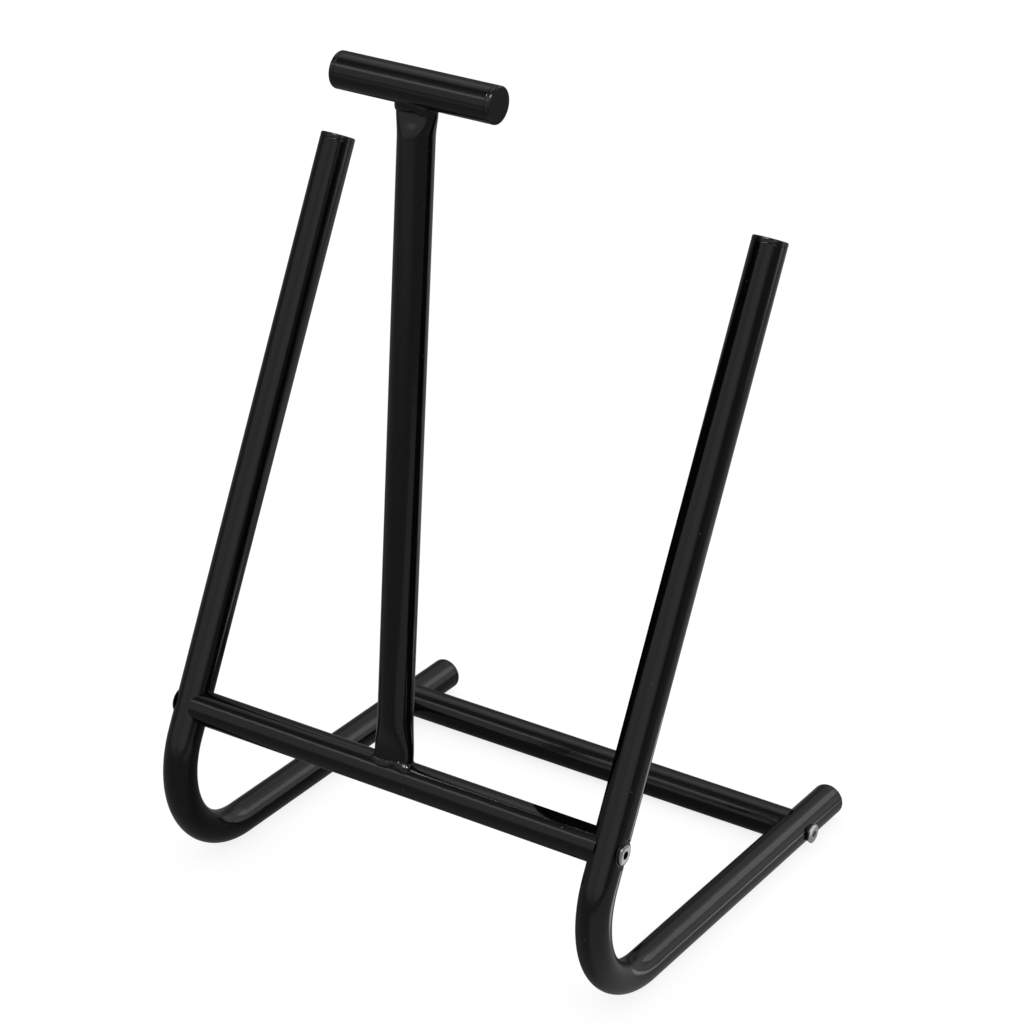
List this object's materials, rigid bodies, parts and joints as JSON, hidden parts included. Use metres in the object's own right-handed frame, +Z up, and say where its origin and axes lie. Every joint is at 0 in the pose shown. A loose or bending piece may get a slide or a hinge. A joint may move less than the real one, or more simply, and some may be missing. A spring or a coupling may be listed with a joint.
{
  "type": "boot rack",
  "caption": "Free-standing bent-tube rack that holds boots sole-up on leaning uprights, with floor runners, bolted cross rails and a T-handle on a centre post.",
  "frame": {"origin": "on the floor, under the middle of the rack's overall box", "axes": "+X to the right along the cross rails, +Y to the rear, along the floor runners, +Z up"},
  "size_m": [0.3798, 0.361, 0.636],
  "materials": {
    "tube_black": "gloss black powder coat on steel tube, slightly wavy, with fine dust nibs",
    "weld_black": "gloss black powder coat over a lumpy hand-laid weld bead",
    "cap_black": "satin black moulded polyethylene",
    "washer_black": "matt black moulded nylon",
    "bolt_zinc": "bright zinc plate with faint turning marks",
    "insert_steel": "plain turned steel"
  },
  "bodies": {
    "root": {"left_side_tube": "tube_black", "right_side_tube": "tube_black", "front_rail": "tube_black", "rear_rail": "tube_black", "centre_post": "tube_black", "handle_tube": "tube_black", "post_weld": "weld_black", "handle_weld": "weld_black", "handle_cap_left": "cap_black", "handle_cap_right": "cap_black", "runner_cap_left": "cap_black", "runner_cap_right": "cap_black", "upright_cap_left": "cap_black", "upright_cap_right": "cap_black", "front_bolt_left": "bolt_zinc", "front_bolt_right": "bolt_zinc", "rear_bolt_left": "bolt_zinc", "rear_bolt_right": "bolt_zinc", "front_saddle_left": "washer_black", "front_saddle_right": "washer_black", "rear_saddle_left": "washer_black", "rear_saddle_right": "washer_black", "front_insert_left": "insert_steel", "front_insert_right": "insert_steel", "rear_insert_left": "insert_steel", "rear_insert_right": "insert_steel"}
  },
  "joints": []
}
